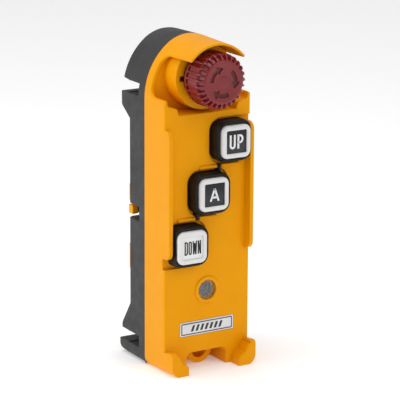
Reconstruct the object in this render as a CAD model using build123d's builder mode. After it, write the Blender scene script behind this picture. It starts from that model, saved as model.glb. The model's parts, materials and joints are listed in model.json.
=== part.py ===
from build123d import *
import math
import os

# Cordless hand-held control station: emergency stop at the top, three push buttons,
# a status light and a nameplate on the yellow front, two AA cells behind a cover at the back.
# Millimetres. +X right, front faces -Y, +Z up. The origin is at the middle of the base,
# on the plane where the yellow front housing meets the grey rear housing.

# ---- body ----
HEIGHT = 181.3
HALF_WIDTH = 27.3
TOP_R = 22.3
SHOULDER_R = 35.6
BOTTOM_R = 6.5
BASE_TRIM = 1.2          # the outline starts this far below the floor and is cut flat at z = 0
FRONT_DRAFT = 2.0
REAR_DRAFT = 1.2
WALL = 2.4

# Depths are y values, negative towards the front.
PANEL_Y = -20.0
PANEL_INNER_Y = -16.0
RAIL_Y = -24.7
FOOT_Y = -28.5
VISOR_Y = -30.0

# ---- front housing features ----
RAIL_INNER_X = 23.2
RAIL_LOW_Z = 64.3
RAIL_HIGH_Z = 134.7
RAIL_END_R = 4.4
FOOT_TOP_Z = 12.8
FOOT_INNER_X = 15.8
SCOOP_LOW_Z = 150.3
SCOOP_HIGH_Z = 171.4
SCOOP_Y = -5.5
SCOOP_R = 4.5
POCKET_LOW_Z = 141.7
POCKET_FLOOR_Y = -4.5
POCKET_BACK_Y = -2.0
EYE_Y = -12.0            # front of the lanyard eye
EYE_T = 4.0
EYE_Z = 7.3
EYE_R = 4.2
EYE_OUTER_R = 8.3
CAVITY_LOW_Z = 12.5
CAVITY_HIGH_Z = 139.2

# ---- rear housing ----
REAR_Y = 19.0
REAR_CAVITY_Y = 14.2
UPPER_SADDLE_Y = 26.6
LOWER_SADDLE_Y = 28.4
SLOT_Y = 17.4            # depth of the strap channels across the back
SIDE_POCKET_X = 19.5     # inner ends of the side notches and strap pockets
UPPER_SLOT = (148.5, 155.3)
LOWER_SLOT = (7.9, 14.6)
NOTCH_Z = (79.6, 87.6)
NOTCH_Y = 6.6

# ---- push buttons ----
BUTTON_PITCH_X = 13.43
BUTTONS = {
    "up": (BUTTON_PITCH_X, 125.7),
    "a": (0.0, 98.3),
    "down": (-BUTTON_PITCH_X, 70.9),
}
BUTTON_TRAVEL = 2.0
RIB_LENGTH = 24.5        # raised ribs between one button and the next
RIB_WIDTH = 1.8
RIB_Y = -21.2
NECK_WIDTH = 2.2         # rubber bridge from the middle boot across each rib
NECK_LENGTH = 3.4
NECK_Y = -21.0
RELIEF_SIZE = 25.2
RELIEF_Y = -18.0
BOOT_SIZE = 24.6
BOOT_FRONT_Y = -26.2
CAP_SIZE = 18.0
CAP_FRONT_Y = -27.9
CAP_BACK_Y = -23.7
LEGEND_SIZE = 12.4
LEGEND_FRONT_Y = -27.3
STEM_R = 2.5
STEM_TIP_Y = -12.6
SWITCH_HEIGHT = 3.4
RUNNING = 0.05           # radial clearance of sliding and turning fits

# ---- emergency stop ----
STOP_Z = 160.4
KNOB_R = 15.0
KNOB_FACE_R = 11.5
KNOB_FRONT_Y = -35.6
KNOB_BACK_Y = -19.8
COLLAR_R = 18.0
COLLAR_BORE_R = 13.2
COLLAR_Y = -16.5
SHAFT_R = 3.0
SLEEVE_R = 6.0
BEZEL_TUBE_R = 9.0
BEZEL_RIM_R = 13.0
BEZEL_FLANGE_R = 12.0
BEZEL_FRONT_Y = -14.6

# ---- electronics ----
BOARD_FRONT_Y = -7.0
BOARD_T = 1.6
BOARD_BACK_Y = BOARD_FRONT_Y + BOARD_T
BOARD_HALF_WIDTH = 21.0
BOARD_Z = (17.0, 136.0)
LED_Z = 43.9
LED_RING_R = 7.75
LED_RING_Y = PANEL_Y - 0.7
LED_WINDOW_R = 5.5
PLATE_Z = 23.3
PLATE_SIZE = (33.8, 7.9)

# ---- battery ----
CELL_R = 7.1
CELL_X = 7.4
CELL_Y = 8.4
BAY_HALF_WIDTH = 14.8
BAY_Z = (57.0, 113.5)
BAY_WALL = 1.5
BAY_FLOOR_Y = 1.2
COVER_HALF_WIDTH = 17.0
COVER_Z = (40.0, 128.0)
COVER_BACK_Y = 19.6
COVER_LEDGE_Y = 16.5
COVER_INNER_Y = 16.9
COVER_GAP = 0.2
COVER_TAB_Y = 15.6       # the finger tabs reach forward to here
COVER_BANDS_Z = ((50.0, 64.0), (88.6, 97.6))
COVER_BAND_X = 25.4

# ---- fasteners ----
HOUSING_SCREWS = [(x, z) for x in (-20.3, 20.3) for z in (46.0, 135.2)]
BOARD_SCREWS = [(-16.5, 22.0), (16.5, 22.0), (-14.0, 117.0), (14.0, 84.0)]
SCREW_R = 1.5
HEAD_R = 2.6
BOSS_R = 3.0

MIDDLE_Z = BUTTONS["a"][1]
BETWEEN_BUTTONS = [(x / 2, (z + MIDDLE_Z) / 2) for x, z in BUTTONS.values() if x]

STOP_AXIS = Axis((0, 0, STOP_Z), (0, 1, 0))
RADIAL_PLANE = Plane.XY.offset(STOP_Z)   # local x is the radius from the stop axis, local y is depth

os.makedirs("parts", exist_ok=True)


def facing(y):
    """Plane across the body at depth y: local x is +X, local y is +Z, extrusions grow to the front."""
    return Plane.XZ.offset(-y)


def backing(y):
    """Plane across the body at depth y whose extrusions grow to the back; local x is -X."""
    return Plane(origin=(0, y, 0), x_dir=(-1, 0, 0), z_dir=(0, 1, 0))


def body_outline(inset=0.0, corner_r=0.0):
    """Front outline of the body as a flat face: straight sides, shoulder arcs and a top arc, tangent."""
    side_centre = HALF_WIDTH - SHOULDER_R
    top_centre = HEIGHT - TOP_R
    rise = math.sqrt((SHOULDER_R - TOP_R) ** 2 - side_centre**2)
    shoulder_z = top_centre - rise
    swing = math.degrees(math.atan2(rise, -side_centre))
    half = HALF_WIDTH - inset
    low = inset if inset else -BASE_TRIM
    with BuildSketch() as outline:
        with BuildLine():
            Line((half, low), (half, shoulder_z))
            CenterArc((side_centre, shoulder_z), SHOULDER_R - inset, 0, swing)
            CenterArc((0, top_centre), TOP_R - inset, swing, 180 - 2 * swing)
            CenterArc((-side_centre, shoulder_z), SHOULDER_R - inset, 180 - swing, swing)
            Line((-half, shoulder_z), (-half, low))
            Line((-half, low), (half, low))
        make_face()
        if corner_r:
            fillet(outline.vertices().group_by(Axis.Y)[0], corner_r)
    return outline.sketch


def centred_span(width, low, high, mode=Mode.ADD):
    """Rectangle centred on x = 0 between two heights."""
    with Locations((0, (low + high) / 2)):
        Rectangle(width, high - low, mode=mode)


def edges_flat_at(part, y):
    """Edges of a part that lie wholly in the plane across the body at depth y."""
    near = 0.03
    flat = []
    for edge in part.edges():
        box = edge.bounding_box()
        if abs(box.min.Y - y) < near and abs(box.max.Y - y) < near:
            flat.append(edge)
    return ShapeList(flat)


def save(part, name):
    """Names a finished piece and writes its file."""
    part.label = name
    export_step(part, f"parts/{name}.step")


# ================= front housing =================

def foot_outline():
    """Front view of the right foot: an S-shaped inner edge from the side down to the toe."""
    heel = (22.6, FOOT_TOP_Z)
    waist = (20.0, 7.6)
    toe = (FOOT_INNER_X, 4.6)
    with BuildSketch() as foot:
        with BuildLine():
            Polyline((40, FOOT_TOP_Z), heel, waist, toe, (FOOT_INNER_X, -10), (40, -10), close=True)
        make_face()
        for corner, radius in ((heel, 1.6), (waist, 2.0), (toe, 1.6)):
            fillet(foot.vertices().sort_by_distance(corner)[0], radius)
    return foot.sketch


def pocket_steps():
    """Front view of what lies under the stop pocket: a flat edge with two rounded steps at each side."""
    right = [(40, SCOOP_LOW_Z), (25.8, SCOOP_LOW_Z), (24.2, 146.8), (18.9, 145.4), (17.8, POCKET_LOW_Z)]
    left = [(-x, z) for x, z in reversed(right)]
    with BuildSketch() as steps:
        with BuildLine():
            Polyline(*right, *left, (-40, -10), (40, -10), close=True)
        make_face()
        fillet(steps.vertices().filter_by_position(Axis.Y, 145, 147), 1.4)
    return steps.sketch


full_outline = body_outline(0, BOTTOM_R)
inner_outline = body_outline(WALL)
right_foot = foot_outline()

# The drafted block that every outer side of the front housing follows.
with BuildPart() as front_block:
    with BuildSketch(facing(0)):
        add(full_outline)
    extrude(amount=-VISOR_Y, taper=FRONT_DRAFT)
    with BuildSketch(Plane.XY.offset(-10)):
        Rectangle(80, 80)
    extrude(amount=10, mode=Mode.SUBTRACT)

# Side view of all that lies in front of the housing's edges: foot, panel, rail, panel, finger scoop.
with BuildPart() as side_relief:
    with BuildSketch(Plane.YZ) as side_view:
        with BuildLine():
            Polyline(
                (-50, -5),
                (FOOT_Y, -5),
                (FOOT_Y, FOOT_TOP_Z + 0.8),
                (PANEL_Y, FOOT_TOP_Z - 0.4),
                (PANEL_Y, RAIL_LOW_Z),
                (RAIL_Y, RAIL_LOW_Z),
                (RAIL_Y, RAIL_HIGH_Z),
                (PANEL_Y, RAIL_HIGH_Z),
                (PANEL_Y, SCOOP_LOW_Z),
                (SCOOP_Y, SCOOP_LOW_Z),
                (SCOOP_Y, SCOOP_HIGH_Z),
                (-50, SCOOP_HIGH_Z),
                close=True,
            )
        make_face()
        # in this sketch local x is depth and local y is height
        rail_ends = side_view.vertices().filter_by_position(Axis.X, RAIL_Y - 0.1, RAIL_Y + 0.1)
        fillet(rail_ends, RAIL_END_R)
        scoop_ends = side_view.vertices().filter_by_position(Axis.X, SCOOP_Y - 0.1, SCOOP_Y + 0.1)
        fillet(scoop_ends, SCOOP_R)
        fillet(side_view.vertices().sort_by_distance((FOOT_Y, FOOT_TOP_Z))[0], 2.0)
        fillet(side_view.vertices().sort_by_distance((PANEL_Y, SCOOP_LOW_Z))[0], 1.2)
    extrude(amount=40, both=True)

# Front view of the middle channel between the rails, which widens towards the front.
with BuildPart() as rail_channel:
    with BuildSketch(facing(PANEL_Y)):
        centred_span(2 * RAIL_INNER_X, FOOT_TOP_Z + 8, SCOOP_LOW_Z - 1)
    extrude(amount=12, taper=-10)
    with BuildSketch(facing(PANEL_Y)):
        centred_span(2 * RAIL_INNER_X, FOOT_TOP_Z - 1, SCOOP_HIGH_Z)
    extrude(amount=20)

# Everything between and above the feet, in front of the panel.
with BuildPart() as foot_gap:
    with BuildSketch(facing(PANEL_Y)):
        centred_span(80, -10, FOOT_TOP_Z)
        add(right_foot, mode=Mode.SUBTRACT)
        add(right_foot.mirror(Plane.YZ), mode=Mode.SUBTRACT)
    extrude(amount=20)

# The pocket round the emergency stop: flat lower edge, stepped corners, then the inner arch.
with BuildPart() as stop_pocket:
    with BuildSketch(facing(POCKET_FLOOR_Y)):
        add(inner_outline)
        add(pocket_steps(), mode=Mode.SUBTRACT)
    extrude(amount=50)

with BuildPart() as front_housing:
    add(front_block.part)
    add(side_relief.part, mode=Mode.SUBTRACT)
    add(rail_channel.part, mode=Mode.SUBTRACT)
    add(foot_gap.part, mode=Mode.SUBTRACT)
    add(stop_pocket.part, mode=Mode.SUBTRACT)
    # deep cavity behind the panel, and a shallow one behind the stop pocket
    with BuildSketch(facing(0)):
        add(inner_outline)
        centred_span(80, CAVITY_LOW_Z, CAVITY_HIGH_Z, mode=Mode.INTERSECT)
    extrude(amount=-PANEL_INNER_Y, taper=FRONT_DRAFT, mode=Mode.SUBTRACT)
    with BuildSketch(facing(0)):
        add(inner_outline)
        centred_span(80, CAVITY_HIGH_Z, HEIGHT, mode=Mode.INTERSECT)
    extrude(amount=-POCKET_BACK_Y, mode=Mode.SUBTRACT)
    # button reliefs: shallow squares, running off the edge above the right rail and below the left one
    with BuildSketch(facing(RELIEF_Y)):
        for x, z in BUTTONS.values():
            with Locations((x, z)):
                RectangleRounded(RELIEF_SIZE, RELIEF_SIZE, 7)
        centred_span(2 * RAIL_INNER_X, 0, HEIGHT, mode=Mode.INTERSECT)
        up_x, up_z = BUTTONS["up"]
        down_x, down_z = BUTTONS["down"]
        relief_top = up_z + RELIEF_SIZE / 2
        relief_low = down_z - RELIEF_SIZE / 2
        with Locations(((up_x + 30) / 2 + 3, (relief_top + RAIL_HIGH_Z) / 2)):
            Rectangle(30 - up_x - 6, relief_top - RAIL_HIGH_Z)
        with Locations(((down_x - 30) / 2 - 3, (relief_low + RAIL_LOW_Z) / 2)):
            Rectangle(30 + down_x - 6, RAIL_LOW_Z - relief_low)
    extrude(amount=2.5, mode=Mode.SUBTRACT)
    # finger ribs half way between the buttons, each with a gap for a rubber neck
    with BuildSketch(facing(PANEL_Y)):
        with Locations(*BETWEEN_BUTTONS):
            SlotOverall(RIB_LENGTH, RIB_WIDTH)
    extrude(amount=PANEL_Y - RIB_Y)
    with BuildSketch(facing(RELIEF_Y)):
        with Locations(*BETWEEN_BUTTONS):
            Rectangle(NECK_WIDTH + 0.4, 4)
    extrude(amount=6, mode=Mode.SUBTRACT)
    # stem holes
    with BuildSketch(facing(0)):
        with Locations(*BUTTONS.values()):
            Circle(STEM_R + 2 * RUNNING)
    extrude(amount=30, mode=Mode.SUBTRACT)
    # collar round the emergency stop, with its bore, index notch and mounting hole
    with BuildSketch(facing(POCKET_FLOOR_Y)):
        with Locations((0, STOP_Z)):
            Circle(COLLAR_R)
    extrude(amount=POCKET_FLOOR_Y - COLLAR_Y, taper=1.5)
    with BuildSketch(facing(POCKET_FLOOR_Y)):
        with Locations((0, STOP_Z)):
            Circle(COLLAR_BORE_R)
    extrude(amount=POCKET_FLOOR_Y - COLLAR_Y, mode=Mode.SUBTRACT)
    with BuildSketch(facing(COLLAR_Y + 2.6)):
        with Locations((-COLLAR_BORE_R - 0.9, STOP_Z)):
            Rectangle(2.8, 3.0)
    extrude(amount=3, mode=Mode.SUBTRACT)
    with BuildSketch(facing(0)):
        with Locations((0, STOP_Z)):
            Circle(BEZEL_TUBE_R + 0.1)
    extrude(amount=10, mode=Mode.SUBTRACT)
    # light ring, light hole with a seat for the window, nameplate recess
    with BuildSketch(facing(PANEL_Y)):
        with Locations((0, LED_Z)):
            Circle(LED_RING_R)
    extrude(amount=PANEL_Y - LED_RING_Y, taper=20)
    with BuildSketch(facing(-17.0)):
        with Locations((0, LED_Z)):
            Circle(LED_WINDOW_R)
    extrude(amount=6, mode=Mode.SUBTRACT)
    with BuildSketch(facing(0)):
        with Locations((0, LED_Z)):
            Circle(4.3)
    extrude(amount=18, mode=Mode.SUBTRACT)
    with BuildSketch(facing(PANEL_Y + 0.5)):
        with Locations((0, PLATE_Z)):
            RectangleRounded(PLATE_SIZE[0] + 0.4, PLATE_SIZE[1] + 0.4, 0.5)
    extrude(amount=2, mode=Mode.SUBTRACT)
    # lanyard recess with its eye
    with BuildSketch(facing(-4.0)) as eye_recess:
        centred_span(24.8, -5, 9.6)
        fillet(eye_recess.vertices().group_by(Axis.Y)[-1], 3)
    extrude(amount=20, mode=Mode.SUBTRACT)
    with BuildSketch(facing(EYE_Y + EYE_T)):
        with Locations((0, EYE_OUTER_R)):
            Circle(EYE_OUTER_R)
        centred_span(30, 0, 12, mode=Mode.INTERSECT)
    extrude(amount=EYE_T)
    with BuildSketch(facing(EYE_Y + EYE_T + 1)):
        with Locations((0, EYE_Z)):
            Circle(EYE_R)
    extrude(amount=EYE_T + 2, mode=Mode.SUBTRACT)
    # screw bosses and board posts
    with BuildSketch(facing(0)):
        with Locations(*HOUSING_SCREWS):
            Circle(BOSS_R)
    extrude(amount=-PANEL_INNER_Y + 0.5)
    with BuildSketch(facing(0)):
        with Locations(*HOUSING_SCREWS):
            Circle(2.2)
    extrude(amount=7, mode=Mode.SUBTRACT)
    with BuildSketch(facing(BOARD_FRONT_Y)):
        with Locations(*BOARD_SCREWS):
            Circle(2.4)
    extrude(amount=BOARD_FRONT_Y - PANEL_INNER_Y + 0.5)
    with BuildSketch(facing(BOARD_FRONT_Y)):
        with Locations(*BOARD_SCREWS):
            Circle(1.0)
    extrude(amount=5, mode=Mode.SUBTRACT)

# softened edges: insides of the feet, panel sides, visor, rails, pocket and recess edges, small rims
softened = front_housing.part
foot_edges = [e for e in edges_flat_at(softened, FOOT_Y) if abs(e.center().X) < 22.2 and e.center().Z > 0.1]
softened = softened.fillet(0.8, foot_edges)
panel_sides = [e for e in edges_flat_at(softened, PANEL_Y) if abs(e.center().X) > 26.3 and e.length > 8]
softened = softened.fillet(0.9, panel_sides)
softened = softened.fillet(0.5, edges_flat_at(softened, VISOR_Y))
softened = softened.fillet(0.5, edges_flat_at(softened, RAIL_Y))
pocket_edges = edges_flat_at(softened, PANEL_Y).filter_by_position(Axis.Z, 141, 150.2)
softened = softened.fillet(0.4, pocket_edges.filter_by_position(Axis.X, -25.5, 25.5))
recess_edges = edges_flat_at(softened, PANEL_Y).filter_by_position(Axis.Z, 0, 11)
softened = softened.fillet(0.5, recess_edges.filter_by_position(Axis.X, -14, 14))
for rim_y, radius in ((EYE_Y, 0.5), (LED_RING_Y, 0.25), (RIB_Y, 0.4)):
    softened = softened.fillet(radius, edges_flat_at(softened, rim_y))
save(softened, "front_housing")


# ================= rear housing =================

with BuildPart() as rear_profile:
    with BuildSketch(Plane.YZ) as rear_view:
        with BuildLine():
            Polyline(
                (0, -5),
                (LOWER_SADDLE_Y, -5),
                (LOWER_SADDLE_Y, LOWER_SLOT[0]),
                (SLOT_Y, LOWER_SLOT[0]),
                (SLOT_Y, LOWER_SLOT[1]),
                (LOWER_SADDLE_Y, LOWER_SLOT[1]),
                (LOWER_SADDLE_Y, 17.5),
                (REAR_Y, 31.0),
                (REAR_Y, 136.5),
                (24.6, 140.3),
                (UPPER_SADDLE_Y, 143.0),
                (UPPER_SADDLE_Y, UPPER_SLOT[0]),
                (SLOT_Y, UPPER_SLOT[0]),
                (SLOT_Y, UPPER_SLOT[1]),
                (UPPER_SADDLE_Y, UPPER_SLOT[1] + 0.8),
                (UPPER_SADDLE_Y, 190),
                (0, 190),
                close=True,
            )
        make_face()
        slot_roots = rear_view.vertices().filter_by_position(Axis.X, SLOT_Y - 0.1, SLOT_Y + 0.1)
        fillet(slot_roots, 1.5)
        ramps = rear_view.vertices().filter_by_position(Axis.Y, 17, 32)
        fillet(ramps, 2.0)
    extrude(amount=40, both=True)

with BuildPart() as rear_block:
    with BuildSketch(backing(0)):
        add(full_outline)
    extrude(amount=LOWER_SADDLE_Y, taper=REAR_DRAFT)
    with BuildSketch(Plane.XY.offset(-10)):
        Rectangle(80, 80)
    extrude(amount=10, mode=Mode.SUBTRACT)
    add(rear_profile.part, mode=Mode.INTERSECT)
    long_edges = rear_block.edges().filter_by(Axis.Z).filter_by_position(Axis.Y, REAR_Y - 0.1, REAR_Y + 0.1)
    fillet(long_edges, 3.5)


def side_boxes(x_from, x_to, z_low, z_high):
    """A rectangle and its mirror image on both sides of the sketch in progress."""
    middle = (x_from + x_to) / 2
    with Locations((middle, (z_low + z_high) / 2), (-middle, (z_low + z_high) / 2)):
        Rectangle(x_to - x_from, z_high - z_low)


with BuildPart() as rear_housing:
    add(rear_block.part)
    # cavity, cored saddles
    with BuildSketch(backing(0)):
        add(inner_outline)
        centred_span(80, LOWER_SLOT[1] + 2.4, HEIGHT, mode=Mode.INTERSECT)
    extrude(amount=REAR_CAVITY_Y, taper=REAR_DRAFT, mode=Mode.SUBTRACT)
    with BuildSketch(backing(0)):
        centred_span(34, WALL, LOWER_SLOT[1] + 3)
    extrude(amount=14, mode=Mode.SUBTRACT)
    with BuildSketch(backing(REAR_CAVITY_Y - 0.5)):
        centred_span(28, UPPER_SLOT[1] + 2.5, 172)
    extrude(amount=UPPER_SADDLE_Y - WALL - REAR_CAVITY_Y, mode=Mode.SUBTRACT)
    # walls round the battery bay, the side notches and the strap pockets
    with BuildSketch(backing(0)):
        centred_span(2 * (BAY_HALF_WIDTH + BAY_WALL), BAY_Z[0] - BAY_WALL, BAY_Z[1] + BAY_WALL)
    extrude(amount=REAR_CAVITY_Y + 0.5)
    with BuildSketch(backing(NOTCH_Y - 1.6)):
        side_boxes(SIDE_POCKET_X - 1.8, 25.5, NOTCH_Z[0] - 1.6, NOTCH_Z[1] + 1.6)
        side_boxes(SIDE_POCKET_X - 1.8, 25.5, UPPER_SLOT[0] - 1.6, UPPER_SLOT[1] + 1.6)
    extrude(amount=REAR_CAVITY_Y - NOTCH_Y + 2.1)
    with BuildSketch(backing(0)):
        with Locations(*HOUSING_SCREWS):
            Circle(BOSS_R)
    extrude(amount=REAR_CAVITY_Y + 0.5)
    # battery bay, cover recess with its cross channel, side notches, strap pockets
    with BuildSketch(backing(BAY_FLOOR_Y)):
        centred_span(2 * BAY_HALF_WIDTH, *BAY_Z)
    extrude(amount=30, mode=Mode.SUBTRACT)
    with BuildSketch(backing(COVER_LEDGE_Y)):
        centred_span(2 * (COVER_HALF_WIDTH + COVER_GAP), COVER_Z[0] - COVER_GAP, COVER_Z[1] + COVER_GAP)
        centred_span(80, *NOTCH_Z)
    extrude(amount=10, mode=Mode.SUBTRACT)
    with BuildSketch(backing(NOTCH_Y)):
        side_boxes(SIDE_POCKET_X, 40, *NOTCH_Z)
        side_boxes(SIDE_POCKET_X, 40, *UPPER_SLOT)
        side_boxes(SIDE_POCKET_X, 40, *LOWER_SLOT)
    extrude(amount=SLOT_Y - NOTCH_Y + 0.5, mode=Mode.SUBTRACT)
    # screw holes with counterbores
    with BuildSketch(backing(0)):
        with Locations(*HOUSING_SCREWS):
            Circle(SCREW_R + 0.15)
    extrude(amount=30, mode=Mode.SUBTRACT)
    with BuildSketch(backing(14.5)):
        with Locations(*HOUSING_SCREWS):
            Circle(HEAD_R + 0.2)
    extrude(amount=10, mode=Mode.SUBTRACT)
    # groove for the housing gasket
    with BuildSketch(backing(0)):
        add(body_outline(0.8))
        add(body_outline(1.8), mode=Mode.SUBTRACT)
    extrude(amount=0.8, mode=Mode.SUBTRACT)
    # softened edges: saddles and side notches
    upper = edges_flat_at(rear_housing, UPPER_SADDLE_Y)
    fillet(upper.filter_by_position(Axis.Z, UPPER_SLOT[1] + 1.2, HEIGHT), 3.5)
    upper = edges_flat_at(rear_housing, UPPER_SADDLE_Y)
    fillet(upper.filter_by_position(Axis.Z, 140, UPPER_SLOT[0] + 0.1), 1.5)
    lower = edges_flat_at(rear_housing, LOWER_SADDLE_Y)
    fillet(lower.filter_by_position(Axis.Z, -1, 1), 3.0)
    notch = rear_housing.edges().filter_by_position(Axis.Z, NOTCH_Z[0] - 0.3, NOTCH_Z[1] + 0.3)
    notch = notch.filter_by_position(Axis.Y, NOTCH_Y - 0.2, COVER_LEDGE_Y)
    fillet([e for e in notch if abs(e.center().X) > 26], 0.5)
save(rear_housing.part, "rear_housing")

with BuildPart() as housing_gasket:
    with BuildSketch(backing(0)):
        add(body_outline(0.85))
        add(body_outline(1.75), mode=Mode.SUBTRACT)
    extrude(amount=0.75)
    with BuildSketch(Plane.XY.offset(-10)):
        Rectangle(80, 80)
    extrude(amount=10, mode=Mode.SUBTRACT)
save(housing_gasket.part, "housing_gasket")

with BuildPart() as housing_screws:
    with BuildSketch(facing(16.9)):
        with Locations(*HOUSING_SCREWS):
            Circle(HEAD_R)
    extrude(amount=2.3)
    with BuildSketch(facing(15.0)):
        with Locations(*HOUSING_SCREWS):
            Circle(SCREW_R)
    extrude(amount=20.0)
    with BuildSketch(facing(16.9)):
        with Locations(*HOUSING_SCREWS):
            RegularPolygon(1.3, 6)
    extrude(amount=1.4, mode=Mode.SUBTRACT)
save(housing_screws.part, "housing_screws")

with BuildPart() as threaded_inserts:
    with BuildSketch(facing(-0.3)):
        with Locations(*HOUSING_SCREWS):
            Circle(2.2)
        with Locations(*HOUSING_SCREWS):
            Circle(SCREW_R, mode=Mode.SUBTRACT)
    extrude(amount=5.7)
save(threaded_inserts.part, "threaded_inserts")


# ================= battery =================

with BuildPart() as battery_cover:
    with BuildSketch(backing(COVER_INNER_Y)) as cover_plate:
        centred_span(2 * COVER_HALF_WIDTH, *COVER_Z)
        centred_span(2 * 25.8, 81.4, 86.2)
    extrude(amount=COVER_BACK_Y - COVER_INNER_Y)
    # finger tabs in the side notches, and two bands that lap over the back of the housing
    with BuildSketch(backing(COVER_TAB_Y)):
        side_boxes(22.5, 25.8, 81.4, 86.2)
    extrude(amount=COVER_BACK_Y - COVER_TAB_Y)
    with BuildSketch(backing(REAR_Y + 0.1)):
        for band in COVER_BANDS_Z:
            centred_span(2 * COVER_BAND_X, *band)
    extrude(amount=0.8)
    # grip ribs
    with BuildSketch(backing(COVER_BACK_Y)):
        for group_z in (52, 98):
            for step in range(5):
                with Locations((0, group_z + 3.6 * step)):
                    RectangleRounded(26, 1.8, 0.85)
    extrude(amount=0.7)
save(battery_cover.part, "battery_cover")

with BuildPart() as battery_cover_seal:
    with BuildSketch(backing(COVER_LEDGE_Y)):
        centred_span(33.4, COVER_Z[0] + 0.4, COVER_Z[1] - 0.4)
        centred_span(30.6, COVER_Z[0] + 1.8, COVER_Z[1] - 1.8, mode=Mode.SUBTRACT)
    extrude(amount=0.35)
save(battery_cover_seal.part, "battery_cover_seal")

CELL_BODY_LENGTH = 49.4
NUB_LENGTH = 1.0


def cell(x, nub_up):
    """One AA cell standing in the bay, its nub up or down."""
    low = BAY_Z[0] + (5.5 if nub_up else NUB_LENGTH + 0.6)
    with BuildPart() as one_cell:
        with BuildSketch(Plane.XY.offset(low)):
            with Locations((x, CELL_Y)):
                Circle(CELL_R)
        extrude(amount=CELL_BODY_LENGTH)
        fillet(one_cell.edges().filter_by(GeomType.CIRCLE), 0.6)
        nub_z = low + CELL_BODY_LENGTH if nub_up else low - NUB_LENGTH
        with BuildSketch(Plane.XY.offset(nub_z)):
            with Locations((x, CELL_Y)):
                Circle(2.7)
        extrude(amount=NUB_LENGTH)
    return one_cell.part


save(cell(-CELL_X, True), "battery_left")
save(cell(CELL_X, False), "battery_right")


def coil(radius, wire_r, pitch, height, plane):
    """Round-wire compression spring along a plane's normal, starting at its origin."""
    with BuildPart() as one_coil:
        with BuildLine():
            turns = Helix(pitch=pitch, height=height, radius=radius)
        with BuildSketch(Plane(origin=turns @ 0, z_dir=turns % 0)):
            Circle(wire_r)
        sweep(path=turns, is_frenet=True)
    return one_coil.part.moved(plane.location)


SPRING_LENGTH = 3.6
left_spring = coil(3.4, 0.35, 1.5, SPRING_LENGTH, Plane((-CELL_X, CELL_Y, BAY_Z[0] + 1.1)))
right_spring = coil(3.4, 0.35, 1.5, SPRING_LENGTH, Plane((CELL_X, CELL_Y, BAY_Z[1] - 1.2 - SPRING_LENGTH)))
with BuildPart() as contact_springs:
    add(left_spring)
    add(right_spring)
save(contact_springs.part, "contact_springs")

with BuildPart() as contact_plates:
    for x in (-CELL_X, CELL_X):
        with BuildSketch(Plane.XY.offset(BAY_Z[0])):
            with Locations((x, CELL_Y)):
                RectangleRounded(12, 11, 1)
        extrude(amount=0.5)
    with BuildSketch(Plane.XY.offset(BAY_Z[1] - 0.5)):
        with Locations((0, CELL_Y)):
            RectangleRounded(27, 11, 1)
    extrude(amount=0.5)
save(contact_plates.part, "contact_plates")


# ================= electronics =================

with BuildPart() as main_board:
    with BuildSketch(facing(BOARD_BACK_Y)):
        centred_span(2 * BOARD_HALF_WIDTH, *BOARD_Z)
        with Locations(*HOUSING_SCREWS):
            Circle(BOSS_R + 0.5, mode=Mode.SUBTRACT)
        side_x = BOARD_HALF_WIDTH - 0.5
        with Locations(*[(math.copysign(side_x + 1.5, x), z) for x, z in HOUSING_SCREWS]):
            Rectangle(4, 2 * BOSS_R + 1, mode=Mode.SUBTRACT)
        with Locations(*BOARD_SCREWS):
            Circle(1.2, mode=Mode.SUBTRACT)
    extrude(amount=BOARD_T)
save(main_board.part, "main_board")

with BuildPart() as board_screws:
    with BuildSketch(facing(BOARD_BACK_Y + 1.4)):
        with Locations(*BOARD_SCREWS):
            Circle(2.0)
    extrude(amount=1.4)
    with BuildSketch(facing(BOARD_BACK_Y)):
        with Locations(*BOARD_SCREWS):
            Circle(0.98)
    extrude(amount=5.5)
save(board_screws.part, "board_screws")

with BuildPart() as radio_module:
    with BuildSketch(facing(BOARD_BACK_Y + 2.6)):
        with Locations((0, 36)):
            Rectangle(19, 26)
    extrude(amount=2.6)
    fillet(radio_module.edges().filter_by(Axis.Z).filter_by_position(Axis.Y, -3, -2.5), 0.5)
save(radio_module.part, "radio_module")

with BuildPart() as microcontroller:
    with BuildSketch(facing(BOARD_BACK_Y + 1.2)):
        with Locations((0, 74)):
            Rectangle(10, 10)
    extrude(amount=1.2)
save(microcontroller.part, "microcontroller")

antenna = coil(1.9, 0.35, 1.6, 26, Plane(origin=(-13, BOARD_BACK_Y + 2.4, 128.5), x_dir=(0, 1, 0), z_dir=(1, 0, 0)))
save(antenna, "antenna")

with BuildPart() as status_led:
    with BuildSketch(facing(BOARD_FRONT_Y)):
        with Locations((0, LED_Z)):
            Circle(2.5)
    extrude(amount=9.2)
    fillet(status_led.edges().group_by(Axis.Y)[0], 2.2)
save(status_led.part, "status_led")

with BuildPart() as led_spacer:
    with BuildSketch(facing(BOARD_FRONT_Y)):
        with Locations((0, LED_Z)):
            Circle(3.5)
            Circle(2.55, mode=Mode.SUBTRACT)
    extrude(amount=7.5)
save(led_spacer.part, "led_spacer")

with BuildPart() as led_window:
    with BuildSketch(facing(-17.0)):
        with Locations((0, LED_Z)):
            Circle(LED_WINDOW_R - 0.05)
    extrude(amount=2.4)
    fillet(led_window.edges().group_by(Axis.Y)[0], 0.5)
save(led_window.part, "led_window")

with BuildPart() as nameplate:
    with BuildSketch(facing(PANEL_Y + 0.5)):
        with Locations((0, PLATE_Z)):
            RectangleRounded(*PLATE_SIZE, 0.4)
    extrude(amount=0.6)
save(nameplate.part, "nameplate")

with BuildPart() as tact_switches:
    with BuildSketch(facing(BOARD_FRONT_Y)):
        with Locations(*BUTTONS.values()):
            RectangleRounded(12, 12, 0.8)
    extrude(amount=SWITCH_HEIGHT)
    with BuildSketch(facing(BOARD_FRONT_Y - 0.6)):
        with Locations(*BUTTONS.values()):
            Circle(1.75)
    extrude(amount=5, mode=Mode.SUBTRACT)
save(tact_switches.part, "tact_switches")


# ================= push buttons =================

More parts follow.
